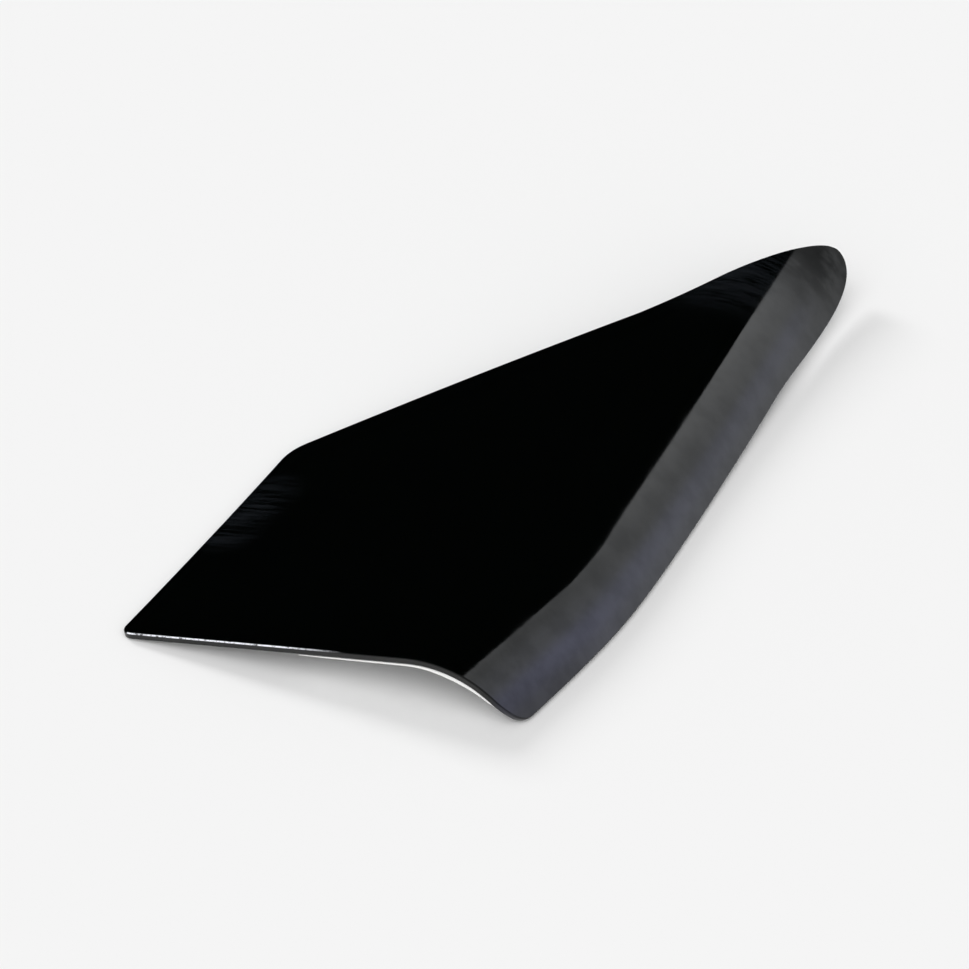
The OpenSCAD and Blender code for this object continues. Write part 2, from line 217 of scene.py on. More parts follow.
def math_node(tree, op, *values, clamp=False):
    return add(tree, "ShaderNodeMath", dict(enumerate(values)), operation=op, use_clamp=clamp).outputs[0]


def times(tree, a, b, clamp=False):
    return math_node(tree, "MULTIPLY", a, b, clamp=clamp)


def noise(tree, vector, scale, detail=2.0, rough=0.5):
    return add(tree, "ShaderNodeTexNoise", {"Vector": vector, "Scale": scale, "Detail": detail,
                                            "Roughness": rough}).outputs["Fac"]


def remap(tree, value, a, b, to_a=0.0, to_b=1.0, smooth=False):
    kind = "SMOOTHSTEP" if smooth else "LINEAR"
    return add(tree, "ShaderNodeMapRange", {"Value": value, "From Min": a, "From Max": b,
                                            "To Min": to_a, "To Max": to_b},
               interpolation_type=kind).outputs["Result"]


def mix_colour(tree, fac, a, b):
    n = tree.nodes.new("ShaderNodeMix")
    n.data_type = "RGBA"
    for key, value in ((0, fac), (6, a), (7, b)):
        if isinstance(value, bpy.types.NodeSocket):
            tree.links.new(value, n.inputs[key])
        elif key:
            n.inputs[key].default_value = (*value, 1)
        else:
            n.inputs[key].default_value = value
    return n.outputs[2]


def mapped(tree, vector, scale, turn=0.0):
    return add(tree, "ShaderNodeMapping", {"Vector": vector, "Scale": scale,
                                           "Rotation": (0, 0, turn)}).outputs[0]


def attribute(tree, name):
    return add(tree, "ShaderNodeAttribute", attribute_name=name).outputs["Fac"]


def bump(tree, height, strength, distance, after=None):
    values = {"Height": height, "Strength": strength, "Distance": distance}
    if after:
        values["Normal"] = after
    return add(tree, "ShaderNodeBump", values).outputs[0]


def new_material(name, local=False, **values):
    """A material and the parts of its tree; values are set on the shader's own sockets.
    A local material reads each piece's own flat coordinates, kept in its mesh."""
    mat = bpy.data.materials.new(name)
    mat.use_nodes = True
    tree = mat.node_tree
    shader = tree.nodes["Principled BSDF"]
    for key, value in values.items():
        key = key.replace("_", " ")
        shader.inputs[key].default_value = (*value, 1) if isinstance(value, tuple) else value
    if local:
        where = add(tree, "ShaderNodeAttribute", attribute_name="local").outputs["Vector"]
    else:
        where = tree.nodes.new("ShaderNodeTexCoord").outputs["Object"]
    return mat, tree, shader, where


def wire(tree, shader, **sockets):
    for key, socket in sockets.items():
        tree.links.new(socket, shader.inputs[key.replace("_", " ")])


# ---------------------------------------------------------------- materials
# Noise scales are in features a metre; places on the blade are in millimetres on its plan.
BLACK = (0.0003, 0.0006, 0.0005)
HAZE = (0.0085, 0.0100, 0.0120)
# Painted highlight: pale colour of the broken line on the top arris.
ARRIS_HIGHLIGHT = (0.82, 0.84, 0.90)
ARRIS_HIGHLIGHT_ROUGHER = 0.4
GRAIN_TURN = math.radians(-22)
SCUFF_GRAIN, TIP_SHADE_GRAIN = (38, 420, 60), (45, 70, 45)
# Painted shade: round this place near the tip the reflection is cut to a tenth of its strength, in streaks.
TIP_SHADE, TIP_SHADE_REACH, TIP_SHADE_LEFT = (185, 420), 0.095, 0.10
TIP_SCUFF, TIP_SCUFF_REACH = (156, 366), 0.055
SIDE_SCUFFS, SIDE_SCUFF_REACH = ((9, 126), (9, 113), (7, 100), (7, 86)), 0.021
RIM_BAND = 12.5
# Painted reflection: bluish tint on the reflection in a band along the rim.
RIM_REFLECTION_TINT = (0.96, 0.97, 1.22)
SHEEN = 0.5


def near(tree, where, centre, reach):
    """1 at a place on the plan, fading to 0 at reach, in metres."""
    spot = row((*centre, 0))
    flat = add(tree, "ShaderNodeVectorMath", {0: where, 1: (1, 1, 0)}, operation="MULTIPLY").outputs[0]
    gap = add(tree, "ShaderNodeVectorMath", {0: flat, 1: (spot.x, spot.y, 0)},
              operation="DISTANCE").outputs["Value"]
    return remap(tree, gap, 0.0, reach, 1.0, 0.0, smooth=True)


def scuffs(tree, where):
    """Fine streaks beside the left edge and before the tip, and a few specks everywhere."""
    streak = noise(tree, mapped(tree, where, SCUFF_GRAIN, GRAIN_TURN), 1.0, 4.0, 0.65)
    haze = near(tree, where, TIP_SCUFF, TIP_SCUFF_REACH)
    for spot in SIDE_SCUFFS:
        haze = math_node(tree, "MAXIMUM", haze, near(tree, where, spot, SIDE_SCUFF_REACH))
    haze = times(tree, haze, remap(tree, streak, 0.36, 0.62, smooth=True))
    specks = remap(tree, noise(tree, where, 900, 0.0), 0.82, 0.86)
    return math_node(tree, "ADD", haze, times(tree, specks, 0.5), clamp=True)


def tip_painted_shade(tree, where):
    """Painted shade: how far the tip's reflection is dimmed, in streaks, strongest at the tip."""
    shade_streak = noise(tree, mapped(tree, where, TIP_SHADE_GRAIN, GRAIN_TURN), 1.0, 3.0, 0.55)
    shade_streak = remap(tree, shade_streak, 0.38, 0.62, 0.72, 1.0, smooth=True)
    return times(tree, near(tree, where, TIP_SHADE, TIP_SHADE_REACH), shade_streak)


def rim_painted_reflection(tree, tip_shade):
    """Painted reflection: a faint bluish band along the rim's edge, left out where the tip's reflection is
    dimmed.
    """
    rim = attribute(tree, "rim")
    reflection_band = times(tree, remap(tree, rim, 0, 0.45, 0.2, 1, smooth=True),
                 remap(tree, rim, 0.55, 1, 1, 0, smooth=True))
    return times(tree, reflection_band, remap(tree, tip_shade, 0.1, 0.6, 1, 0))


def blade_material():
    mat, tree, shader, where = new_material("blade_gloss_black", IOR=1.5)
    tip_shade = tip_painted_shade(tree, where)
    reflection_band = rim_painted_reflection(tree, tip_shade)
    mottle = remap(tree, noise(tree, where, 62, 5.0, 0.65), 0.36, 0.64, 0.86, 1.08, smooth=True)
    # Specular level: painted shade dims it at the tip, and painted reflection raises it a little in the rim
    # band.
    sheen = times(tree, remap(tree, tip_shade, 0, 1, 1.0, TIP_SHADE_LEFT), mottle)
    sheen = times(tree, times(tree, sheen, SHEEN), remap(tree, reflection_band, 0, 1, 0.97, 1.12))
    # Painted highlight: a pale, broken line on the top arris, a little rougher there.
    highlight_breaks = remap(tree, noise(tree, where, 700, 4.0, 0.8), 0.38, 0.52)
    arris_highlight = times(tree, attribute(tree, "highlight_mask"), highlight_breaks, clamp=True)
    colour = mix_colour(tree, arris_highlight, mix_colour(tree, scuffs(tree, where), BLACK, HAZE), ARRIS_HIGHLIGHT)
    rough = remap(tree, noise(tree, where, 22, 4.0, 0.6), 0.35, 0.7, 0.045, 0.11)
    rough = math_node(tree, "ADD", rough, times(tree, arris_highlight, ARRIS_HIGHLIGHT_ROUGHER))
    level = bump(tree, noise(tree, where, 120, 1.0, 0.4), 1.0, 0.00002)
    level = bump(tree, noise(tree, where, 260, 3.0, 0.6), 0.12, 0.00002, level)
    # Specular tint: the rim band's bluish painted reflection.
    wire(tree, shader, Base_Color=colour, Roughness=rough, Normal=level, Specular_IOR_Level=sheen,
         Specular_Tint=mix_colour(tree, reflection_band, (1, 1, 1), RIM_REFLECTION_TINT))
    return mat


METAL = 0.72


def strip_material():
    """Satin pale strip with faint lines along it."""
    mat, tree, shader, where = new_material("strip_satin_pale", Metallic=METAL)
    lines = noise(tree, mapped(tree, where, (30, 1400, 1400)), 1.0, 2.0)
    cloud = noise(tree, where, 60, 3.0)
    wire(tree, shader, Base_Color=mix_colour(tree, cloud, (0.78, 0.78, 0.77), (0.90, 0.90, 0.89)),
         Roughness=remap(tree, lines, 0.3, 0.7, 0.38, 0.52), Normal=bump(tree, lines, 0.2, 0.00003))
    return mat


def plated_material(name, low, high, rough_low, rough_high, stretch):
    """Plated sheet or turned steel, with rolling or turning marks and a faint cloudiness."""
    mat, tree, shader, where = new_material(name, Metallic=METAL)
    lines = noise(tree, mapped(tree, where, stretch), 1.0, 3.0)
    cloud = noise(tree, where, 90, 4.0, 0.6)
    grime = remap(tree, noise(tree, where, 320, 4.0, 0.7), 0.58, 0.72)
    colour = mix_colour(tree, cloud, low, high)
    colour = mix_colour(tree, times(tree, grime, 0.35), colour, (0.30, 0.29, 0.27))
    rough = remap(tree, lines, 0.3, 0.7, rough_low, rough_high)
    rough = math_node(tree, "ADD", rough, times(tree, grime, 0.15))
    wire(tree, shader, Base_Color=colour, Roughness=rough, Normal=bump(tree, lines, 0.25, 0.00002))
    return mat


def lever_material():
    """Fine-textured black, rubbed a little paler in places."""
    mat, tree, shader, where = new_material("lever_textured_black", IOR=1.46)
    grit = noise(tree, where, 1500, 2.0, 0.6)
    cloud = noise(tree, where, 70, 3.0)
    rub = remap(tree, noise(tree, where, 180, 3.0, 0.6), 0.60, 0.72)
    colour = mix_colour(tree, cloud, (0.012, 0.012, 0.013), (0.022, 0.022, 0.024))
    colour = mix_colour(tree, times(tree, rub, 0.4), colour, (0.06, 0.06, 0.062))
    wire(tree, shader, Base_Color=colour, Roughness=remap(tree, grit, 0.3, 0.7, 0.42, 0.62),
         Normal=bump(tree, grit, 0.5, 0.00004))
    return mat


WEB_RIB, WEB_PICK, WEB_SLANT = 2.2, 1.35, 0.45


def webbing_material():
    """Ribbed webbing: columns along the strap, each crossed by picks, half a pick apart."""
    mat, tree, shader, where = new_material("webbing_black", True, Sheen_Weight=0.35, Sheen_Roughness=0.5)
    parts = add(tree, "ShaderNodeSeparateXYZ", {0: where})
    across = math_node(tree, "DIVIDE", parts.outputs["Y"], WEB_RIB * MM)
    column = math_node(tree, "FLOOR", across)
    shift = times(tree, math_node(tree, "MODULO", column, 2.0), 0.5)
    along = math_node(tree, "ADD", math_node(tree, "DIVIDE", parts.outputs["X"], WEB_PICK * MM), shift)
    along = math_node(tree, "ADD", along, times(tree, math_node(tree, "FRACT", across), WEB_SLANT))
    pick = math_node(tree, "PINGPONG", math_node(tree, "FRACT", along), 0.5)
    rib = math_node(tree, "PINGPONG", math_node(tree, "FRACT", across), 0.5)
    weave = times(tree, remap(tree, pick, 0.02, 0.30, smooth=True),
                  remap(tree, rib, 0.02, 0.22, smooth=True))
    fuzz = noise(tree, where, 3200, 2.0, 0.7)
    height = math_node(tree, "ADD", weave, times(tree, fuzz, 0.25))
    dust = remap(tree, noise(tree, where, 55, 4.0, 0.6), 0.45, 0.75)
    # The gaps between picks and ribs are painted darker: painted shade in the weave.
    colour = mix_colour(tree, weave, (0.006, 0.006, 0.007), (0.030, 0.030, 0.033))
    colour = mix_colour(tree, times(tree, dust, 0.3), colour, (0.060, 0.058, 0.052))
    wire(tree, shader, Base_Color=colour, Roughness=remap(tree, fuzz, 0.3, 0.7, 0.62, 0.85),
         Normal=bump(tree, height, 0.9, 0.00030))
    return mat


def thread_material():
    mat, tree, shader, where = new_material("stitch_thread", True, Sheen_Weight=0.2)
    ply = add(tree, "ShaderNodeTexWave", {"Vector": where, "Scale": 900.0, "Distortion": 1.5},
              bands_direction="DIAGONAL").outputs["Fac"]
    # Darker in the grooves between the plies: painted shade.
    wire(tree, shader, Base_Color=mix_colour(tree, ply, (0.05, 0.05, 0.052), (0.13, 0.13, 0.135)),
         Roughness=remap(tree, ply, 0.0, 1.0, 0.7, 0.5), Normal=bump(tree, ply, 0.5, 0.00005))
    return mat


def foam_material():
    """Closed-cell foam under a fine knitted facing."""
    mat, tree, shader, where = new_material("foam_facing", True, Sheen_Weight=0.5, Sheen_Roughness=0.6)
    cells = add(tree, "ShaderNodeTexVoronoi", {"Vector": where, "Scale": 1250.0}).outputs["Distance"]
    cloud = noise(tree, where, 45, 4.0, 0.6)
    knit = remap(tree, cells, 0.1, 0.6, 1.0, 0.0, smooth=True)
    # Darker between the knit's raised cells: painted shade.
    colour = mix_colour(tree, knit, (0.010, 0.010, 0.011), (0.040, 0.040, 0.044))
    colour = mix_colour(tree, remap(tree, cloud, 0.45, 0.75, 0.0, 0.35), colour, (0.070, 0.068, 0.064))
    wire(tree, shader, Base_Color=colour, Roughness=remap(tree, cloud, 0.3, 0.7, 0.8, 0.95),
         Normal=bump(tree, knit, 0.6, 0.00025))
    return mat


# ---------------------------------------------------------------- mesh helpers
def make_piece(name, points, faces, mat, body="blade_body", world=None, normals=None):
    """A mesh object from points in metres, smooth shaded, riding on a body."""
    mesh = bpy.data.meshes.new(name)
    placed = [world @ p for p in points] if world else points
    mesh.from_pydata([tuple(p) for p in placed], [], faces)
    mesh.polygons.foreach_set("use_smooth", [True] * len(mesh.polygons))
    own = mesh.attributes.new("local", "FLOAT_VECTOR", "POINT")
    own.data.foreach_set("vector", [c for p in points for c in p])
    if normals:
        mesh.normals_split_custom_set_from_vertices([tuple(n) for n in normals])
    mesh.materials.append(mat)
    obj = bpy.data.objects.new(name, mesh)
    bpy.context.scene.collection.objects.link(obj)
    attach(obj, body)
    return obj


def loft(rings):
    """Points and faces of a tube through rings of equal length, closed at both ends."""
    n = len(rings[0])
    points = [p for ring in rings for p in ring]
    faces = [(i * n + j, i * n + (j + 1) % n, (i + 1) * n + (j + 1) % n, (i + 1) * n + j)
             for i in range(len(rings) - 1) for j in range(n)]
    faces.append(tuple(range(n))[::-1])
    faces.append(tuple((len(rings) - 1) * n + j for j in range(n)))
    return points, faces


def round_steps(n):
    """Angles of n equal steps round a circle, each once."""
    return [2 * math.pi * k / n for k in range(n)]


def quarter_steps(n):
    """Angles of n equal steps over a quarter turn, with both ends."""
    return [math.pi / 2 * k / n for k in range(n + 1)]


def lathe(profile, place, around=40):
    """A turned shape about an upright axis at place, from (radius, height) pairs, in millimetres."""
    turns = round_steps(around)
    return loft([[Vector((place[0] + r * math.cos(a), place[1] + r * math.sin(a), z)) for a in turns]
                 for r, z in profile])


def gather(parts):
    """One list of points and faces from several, in metres."""
    points, faces = [], []
    for some, sides in parts:
        start = len(points)
        points += [p * MM for p in some]
        faces += [tuple(start + i for i in f) for f in sides]
    return points, faces


# ---------------------------------------------------------------- blade
GRID = 3.0
EDGE_STEP = 2.0
EDGE_CLEAR = 1.6
TOP_ARRIS, LOW_ARRIS = 0.75, 0.5
ARRIS_STEPS = 5
# Painted highlight along the top arris, only where the arris faces up and forward.
HIGHLIGHT_FROM, HIGHLIGHT_FULL, HIGHLIGHT_END = 4, 78, 104
SIDE_HIGHLIGHT_FROM, SIDE_HIGHLIGHT_TO, SIDE_HIGHLIGHT = 92, 166, 0.45
HIGHLIGHT_TURN_LOW, HIGHLIGHT_TURN_HIGH = math.radians(30), math.radians(80)
EDGE_NEAR = 3


def spaced(points, step):
    """Closed run of plan points with no gap over step."""
    made = []
    for a, b in zip(points, points[1:] + points[:1]):
        n = max(1, math.ceil((b - a).length / step))
        made += [a.lerp(b, k / n) for k in range(n)]
    return made


def blade_outline():
    """Plan of the blade, anticlockwise from the left mouth corner."""
    middle, corner = (MOUTH_W / 2, 0), (0, LEFT_LEN)
    left = fillet(corner, (0, 0), middle, MOUTH_LEFT_R, 10)
    right = fillet(middle, (rim_x(0), 0), (rim_x(3 * MOUTH_RIGHT_R), 3 * MOUTH_RIGHT_R), MOUTH_RIGHT_R, 14)
    ys = np.arange(right[-1].y + EDGE_STEP, SHOULDER_Y - EDGE_STEP / 2, EDGE_STEP)
    side = [Vector((rim_x(y), y)) for y in ys]
    slant_way = (Vector(SLANT_END) - Vector(WAIST)).normalized()
    guide = Vector(SLANT_END) + slant_way * NOSE_FULL
    nose = curve(TIP, (TIP[0] - NOSE_IN, TIP[1]), guide, SLANT_END, 16)[1:]
    waist = fillet(SLANT_END, WAIST, corner, WAIST_R, 24)
    back = fillet(WAIST, corner, (0, 0), BACK_R, 14)
    slant = bowed(waist[-1], back[0], SLANT_BOW)
    edge = bowed(back[-1], left[0], -LEFT_BOW)
    return spaced(left + right + side + tip_side(60) + nose + waist + slant + back + edge, EDGE_STEP)


def inside(loop, xs, ys):
    """The grid points that are inside the loop and clear of it."""
    a = np.array([tuple(p) for p in loop])
    b = np.roll(a, -1, axis=0)
    px, py = np.meshgrid(xs, ys)
    p = np.stack([px.ravel(), py.ravel()], 1)
    crossing, gap = np.zeros(len(p), bool), np.full(len(p), 1e9)
    for u, v in zip(a, b):
        if u[1] != v[1]:
            hit = (u[1] > p[:, 1]) != (v[1] > p[:, 1])
            crossing ^= hit & (p[:, 0] < (v[0] - u[0]) * (p[:, 1] - u[1]) / (v[1] - u[1]) + u[0])
        w = v - u
        t = np.clip(((p - u) @ w) / (w @ w), 0, 1)
        gap = np.minimum(gap, np.hypot(*(p - u - t[:, None] * w).T))
    return p[crossing & (gap > EDGE_CLEAR)]


def triangulated(plan, n):
    """Places and triangles of a plan whose first n points are its border."""
    made = delaunay_2d_cdt(plan, [(i, (i + 1) % n) for i in range(n)], [], 1, 1e-6)
    assert len(made[0]) == len(plan)
    return made[0], [tuple(f) for f in made[2]]


def edge_frames(loop):
    """Middle point, surface normal and outward direction at each point of the outline."""
    frames = []
    for i, p in enumerate(loop):
        ahead, behind = loop[(i + 1) % len(loop)], loop[i - 1]
        along = on_surface(ahead.x, ahead.y, 0) - on_surface(behind.x, behind.y, 0)
        up = normal(p.x, p.y)
        out = along.normalized().cross(up).normalized()
        frames.append((on_surface(p.x, p.y, 0), up, out))
    return frames


def rim_share(p):
    """0 at the rim's edge, 1 from RIM_BAND inwards."""
    return min(1, max(0, (rim_x(p.y) - p.x) / RIM_BAND))


def highlight_at(p):
    """Painted highlight on the edge at a plan point: the mouth's left part, and fainter on a stretch of the
    left edge.
    """
    if p.y < EDGE_NEAR and p.x > HIGHLIGHT_FROM:
        return min(1, max(0, (HIGHLIGHT_END - p.x) / (HIGHLIGHT_END - HIGHLIGHT_FULL)))
    if p.x < EDGE_NEAR and SIDE_HIGHLIGHT_FROM < p.y < SIDE_HIGHLIGHT_TO:
        return SIDE_HIGHLIGHT
    return 0.0


def sheet_face(frames, arris, side, grid):
    """One broad face: its border inset by the arris, and a grid inside. Side is 1 on top, -1 below."""
    border = [(c - arris * out).to_2d() for c, _, out in frames]
    plan = border + [Vector(p) for p in grid]
    n = len(border)
    places, triangles = triangulated(plan, n)
    points = [on_surface(p.x, p.y, side * THICK / 2) for p in places]
    normals = [side * normal(p.x, p.y) for p in places]
    faces = [f if side > 0 else f[::-1] for f in triangles]
    return points, normals, faces, n


def make_blade(mat):
    """The blade as one closed shell: two broad faces and rounded arrises between them."""
    loop = blade_outline()
    frames = edge_frames(loop)
    a = np.array([tuple(p) for p in loop])
    xs = np.arange(a[:, 0].min() + GRID / 2, a[:, 0].max(), GRID)
    ys = np.arange(a[:, 1].min() + GRID / 2, a[:, 1].max(), GRID)
    grid = inside(loop, xs, ys)
    top_p, top_n, top_f, n = sheet_face(frames, TOP_ARRIS, 1, grid)
    low_p, low_n, low_f, n = sheet_face(frames, LOW_ARRIS, -1, grid)
    points, normals, faces = top_p + low_p, top_n + low_n, list(top_f)
    faces += [tuple(len(top_p) + i for i in f) for f in low_f]
    highlight_mask = [0.0] * len(points)
    rings = [list(range(n))]
    for side, r in ((1, TOP_ARRIS), (-1, LOW_ARRIS)):
        bends = quarter_steps(ARRIS_STEPS)[:-1]
        for w in sorted(bends, reverse=side > 0):
            rings.append(list(range(len(points), len(points) + n)))
            for (c, up, out), p in zip(frames, loop):
                rise_by = side * (THICK / 2 - r + r * math.sin(w))
                points.append(c + up * rise_by + out * (r * math.cos(w) - r))
                normals.append((out * math.cos(w) + up * side * math.sin(w)).normalized())
                highlight_mask.append(highlight_at(p) if side > 0 and HIGHLIGHT_TURN_LOW < w < HIGHLIGHT_TURN_HIGH else 0.0)
    rings.append(list(range(len(top_p), len(top_p) + n)))
    for one, two in zip(rings, rings[1:]):
        faces += [(one[(i + 1) % n], one[i], two[i], two[(i + 1) % n]) for i in range(n)]
    for p in points:
        p.z = max(p.z, 0)
    blade = make_piece("blade_shell", [row(p) for p in points], faces, mat, normals=normals)
    for kind, values in (("highlight_mask", highlight_mask), ("rim", [rim_share(p) for p in points])):
        layer = blade.data.attributes.new(kind, "FLOAT", "POINT")
        layer.data.foreach_set("value", values)
    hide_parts("blade")


# ---------------------------------------------------------------- strap hardware sizes, as in the CAD
HAND_AT, HAND_SPAN, HAND_SAG = (97, 86), 88, 8
FOREARM_AT, FOREARM_SPAN, FOREARM_SAG = (113, 222), 66, 10
WEB_W, WEB_T = 38, 1.6
BOSS_H, BOSS_R, BOSS_ROOT = 2.5, 4, 1.2
SCREW_R, SCREW_IN, CLAMP_SCREW, CLAMP_LEN = 1.5, 3.6, 11, 13
FRAME_T, FRAME_FRONT = 1.5, 10
CHEEK_GAP, CHEEK_T, EAR_R = WEB_W + 2, 1.5, 4.5
EAR_AT = CHEEK_GAP / 2 + CHEEK_T + EAR_R
TAIL_LEN, STOP_LEN, STOP_T = 12, 6, 1.4
PAD_GAP, PAD_T, PAD_CORNER = 0.4, 3, 12
PALM_PAD, FOREARM_PAD = (-25, 30, 90), (-18, 19, 60)
PALM_GROOVES, FOREARM_GROOVES = (-24, 0, 24), (-12, 12)
PIN_DOWN = BOSS_H + FRAME_T + WEB_T + 4.05
LEVER_LEN, LEVER_T, LEVER_GAP = 16, 2.2, 0.3


BOSS_FOOT, BOSS_SINK, BOSS_BREAK, PILOT_PLAY, AXIS_R = 1.4, 0.05, 0.3, 0.05, 0.01


def make_bosses(name, at, span, mat):
    """Screw bosses with a rounded root and a blind pilot hole."""
    pilot = SCREW_R + PILOT_PLAY
    root = [(BOSS_R + BOSS_FOOT * (1 - math.sin(w)), BOSS_FOOT * (1 - math.cos(w)) - BOSS_SINK)
            for w in quarter_steps(6)]
    profile = [(AXIS_R, -BOSS_ROOT), (root[0][0], -BOSS_ROOT)] + root
    profile += [(BOSS_R, BOSS_H - BOSS_BREAK), (BOSS_R - BOSS_BREAK, BOSS_H), (pilot, BOSS_H),
                (pilot, BOSS_H - SCREW_IN), (AXIS_R, BOSS_H - SCREW_IN)]
    spots = [(x, side * y) for side in (-1, 1) for x, y in ((-span / 2, CLAMP_SCREW), (span / 2, EAR_AT))]
    points, faces = gather([lathe(profile, spot) for spot in spots])
    make_piece(name, points, faces, mat, world=underside(at))


# ---------------------------------------------------------------- webbing
WEB_STEP = 1.0
WEB_EDGE = 0.7


def band_ring(centre, along, width, thick, edge, steps=5):
    """Ring round a flat band: local Y is across it, and the band is thick along the path's normal."""
    off = Vector((-along.z, 0, along.x))
    ring = []
    for sy, sz in ((1, -1), (1, 1), (-1, 1), (-1, -1)):
        for k in range(steps + 1):
            turn = k / steps if sy * sz < 0 else 1 - k / steps
            w = math.pi / 2 * turn
            y = sy * (width / 2 - edge + edge * math.cos(w))
            z = sz * (thick / 2 - edge + edge * math.sin(w))
            ring.append(centre + Vector((0, y, 0)) + off * z)
    return ring


def strap_path(span, sag):
    """Middle line of the webbing, from under the clamp to its tail."""
    start, end = -span / 2 - CLAMP_LEN / 2 + 1, span / 2 + TAIL_LEN
    a, b = -span / 2 + CLAMP_LEN / 2 + 1.5, span / 2 - FRAME_FRONT - 1
    low, seat = BOSS_H + WEB_T / 2, BOSS_H + FRAME_T + WEB_T / 2
    path = []
    for x in np.linspace(start, end, round((end - start) / WEB_STEP)):
        t = min(1, max(0, (x - a) / (b - a)))
        wave = (1 - math.cos(math.pi * t)) / 2
        path.append(Vector((x, 0, low + (seat - low) * wave + sag * math.sin(math.pi * t) ** 2)))
    return path


def band(path, width, thick, edge):
    """A flat band along a path in its upright plane."""
    rings = []
    for i, p in enumerate(path):
        along = (path[min(i + 1, len(path) - 1)] - path[max(i - 1, 0)]).normalized()
        rings.append(band_ring(p, along, width, thick, edge))
    return loft(rings)


def stitch(a, b, r):
    """One stitch: a short thread that dips into the cloth at both ends."""
    side = (b - a).normalized().cross(Vector((0, 0, 1)))
    rings = []
    for k in range(7):
        t = k / 6
        swell = math.sin(math.pi * t)
        c = a.lerp(b, t) + Vector((0, 0, r * 0.9 * swell - 0.35 * r))
        rr = r * (0.45 + 0.55 * swell)
        rings.append([c + (side * math.cos(w) + Vector((0, 0, 1)) * math.sin(w)) * rr
                      for w in round_steps(8)])
    return loft(rings)


def stitch_row(a, b, pitch, r):
    """A row of stitches between two points."""
    a, b = Vector(a), Vector(b)
    n = max(1, round((b - a).length / pitch))
    return [stitch(a.lerp(b, (k + 0.12) / n), a.lerp(b, (k + 0.88) / n), r) for k in range(n)]


THREAD_R = 0.28
STITCH_PITCH, STITCH_SIDE, STITCH_FIRST, STITCH_LAST = 2.6, 3, 1.4, 1.8
FOLD_OVER, FOLD_EDGE, FOLD_BACK = 0.35, 0.6, 0.4


def make_strap(name, at, span, sag, mats):
    """The webbing, the stop folded and sewn at its tail, and the two rows of stitches."""
    place = underside(at)
    points, faces = gather([band(strap_path(span, sag), WEB_W, WEB_T, WEB_EDGE)])
    strap = make_piece(name + "_strap_web", points, faces, mats["webbing"], world=place)
    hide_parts(name + "_strap")
    top = BOSS_H + FRAME_T + WEB_T
    x0, x1 = span / 2 + TAIL_LEN - STOP_LEN, span / 2 + TAIL_LEN + FOLD_OVER
    fold = [Vector((x, 0, top + STOP_T / 2)) for x in np.linspace(x0, x1 - FOLD_BACK, 9)]
    points, faces = gather([band(fold, WEB_W, STOP_T, FOLD_EDGE)])
    end = make_piece(name + "_strap_fold", points, faces, mats["webbing"], world=place)
    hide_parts(name + "_strap_end")
    height, half = top + STOP_T, WEB_W / 2 - STITCH_SIDE
    rows = [stitch_row((x, -half, height), (x, half, height), STITCH_PITCH, THREAD_R)
            for x in (x0 + STITCH_FIRST, x1 - STITCH_LAST)]
    points, faces = gather(rows[0] + rows[1])
    make_piece(name + "_strap_stitches", points, faces, mats["thread"], world=place)


# ---------------------------------------------------------------- pads
PAD_RIM = 5.0
PAD_STEP = 1.5
GROOVE_W, GROOVE_DEEP = 2.2, 0.9
PAD_LIP, PAD_INSET, PAD_THIN = 0.15, 0.25, 0.3
CROWN = 0.14


def pad_height(x, y, length, width, grooves):
    """Height of the pad over its glued face: crowned, rolled in at its rim, with pressed grooves."""
    qx = max(0, abs(x) - (length / 2 - PAD_CORNER))
    qy = max(0, abs(y) - (width / 2 - PAD_CORNER))
    gap = PAD_CORNER - math.hypot(qx, qy)
    if not (qx and qy):
        gap = min(length / 2 - abs(x), width / 2 - abs(y))
    t = min(1, max(0, gap / PAD_RIM))
    crown = 1 - CROWN + CROWN * math.cos(math.pi * x / length) * math.cos(math.pi * y / width)
    height = PAD_T * crown * (1 - (1 - t) ** 3) ** 0.55
    for g in grooves:
        height -= GROOVE_DEEP * math.exp(-((y - g) / GROOVE_W) ** 2) * min(1, t * 1.2)
    return max(height, PAD_THIN)


def pad_outline(length, width):
    """Closed run of points round the pad, with rounded corners."""
    outline = []
    for sx, sy in ((1, -1), (1, 1), (-1, 1), (-1, -1)):
        cx, cy = sx * (length / 2 - PAD_CORNER), sy * (width / 2 - PAD_CORNER)
        first = math.atan2(sy, sx) - math.pi / 4
        outline += [Vector((cx + PAD_CORNER * math.cos(first + w), cy + PAD_CORNER * math.sin(first + w)))
                    for w in quarter_steps(10)]
    return spaced(outline, PAD_STEP)


def make_pad(name, node, at, extent, grooves, mats):
    """A foam pad on the underside: a crowned face, a thin lip round it and its glued face."""
    start, end, width = extent
    length, middle = end - start, (start + end) / 2
    outline = pad_outline(length, width)
    xs = np.arange(-length / 2 + PAD_STEP / 2, length / 2, PAD_STEP)
    ys = np.arange(-width / 2 + PAD_STEP / 2, width / 2, PAD_STEP)
    ring = [p * (1 - PAD_INSET / p.length) for p in outline]
    n = len(ring)
    places, triangles = triangulated(ring + [Vector(p) for p in inside(outline, xs, ys)], n)
    points = [Vector((p.x + middle, p.y, PAD_GAP + pad_height(p.x, p.y, length, width, grooves)))
              for p in places]
    outer = len(points)
    points += [Vector((p.x + middle, p.y, PAD_GAP + PAD_LIP)) for p in outline]
    base = len(points)
    points += [Vector((p.x + middle, p.y, PAD_GAP)) for p in places]
    faces = triangles + [tuple(base + i for i in reversed(f)) for f in triangles]
    for i in range(n):
        j = (i + 1) % n
        faces += [(j, i, outer + i, outer + j), (outer + j, outer + i, base + i, base + j)]
    pad = make_piece(name, [p * MM for p in points], faces, mats["foam"], world=underside(at))
    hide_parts(node)


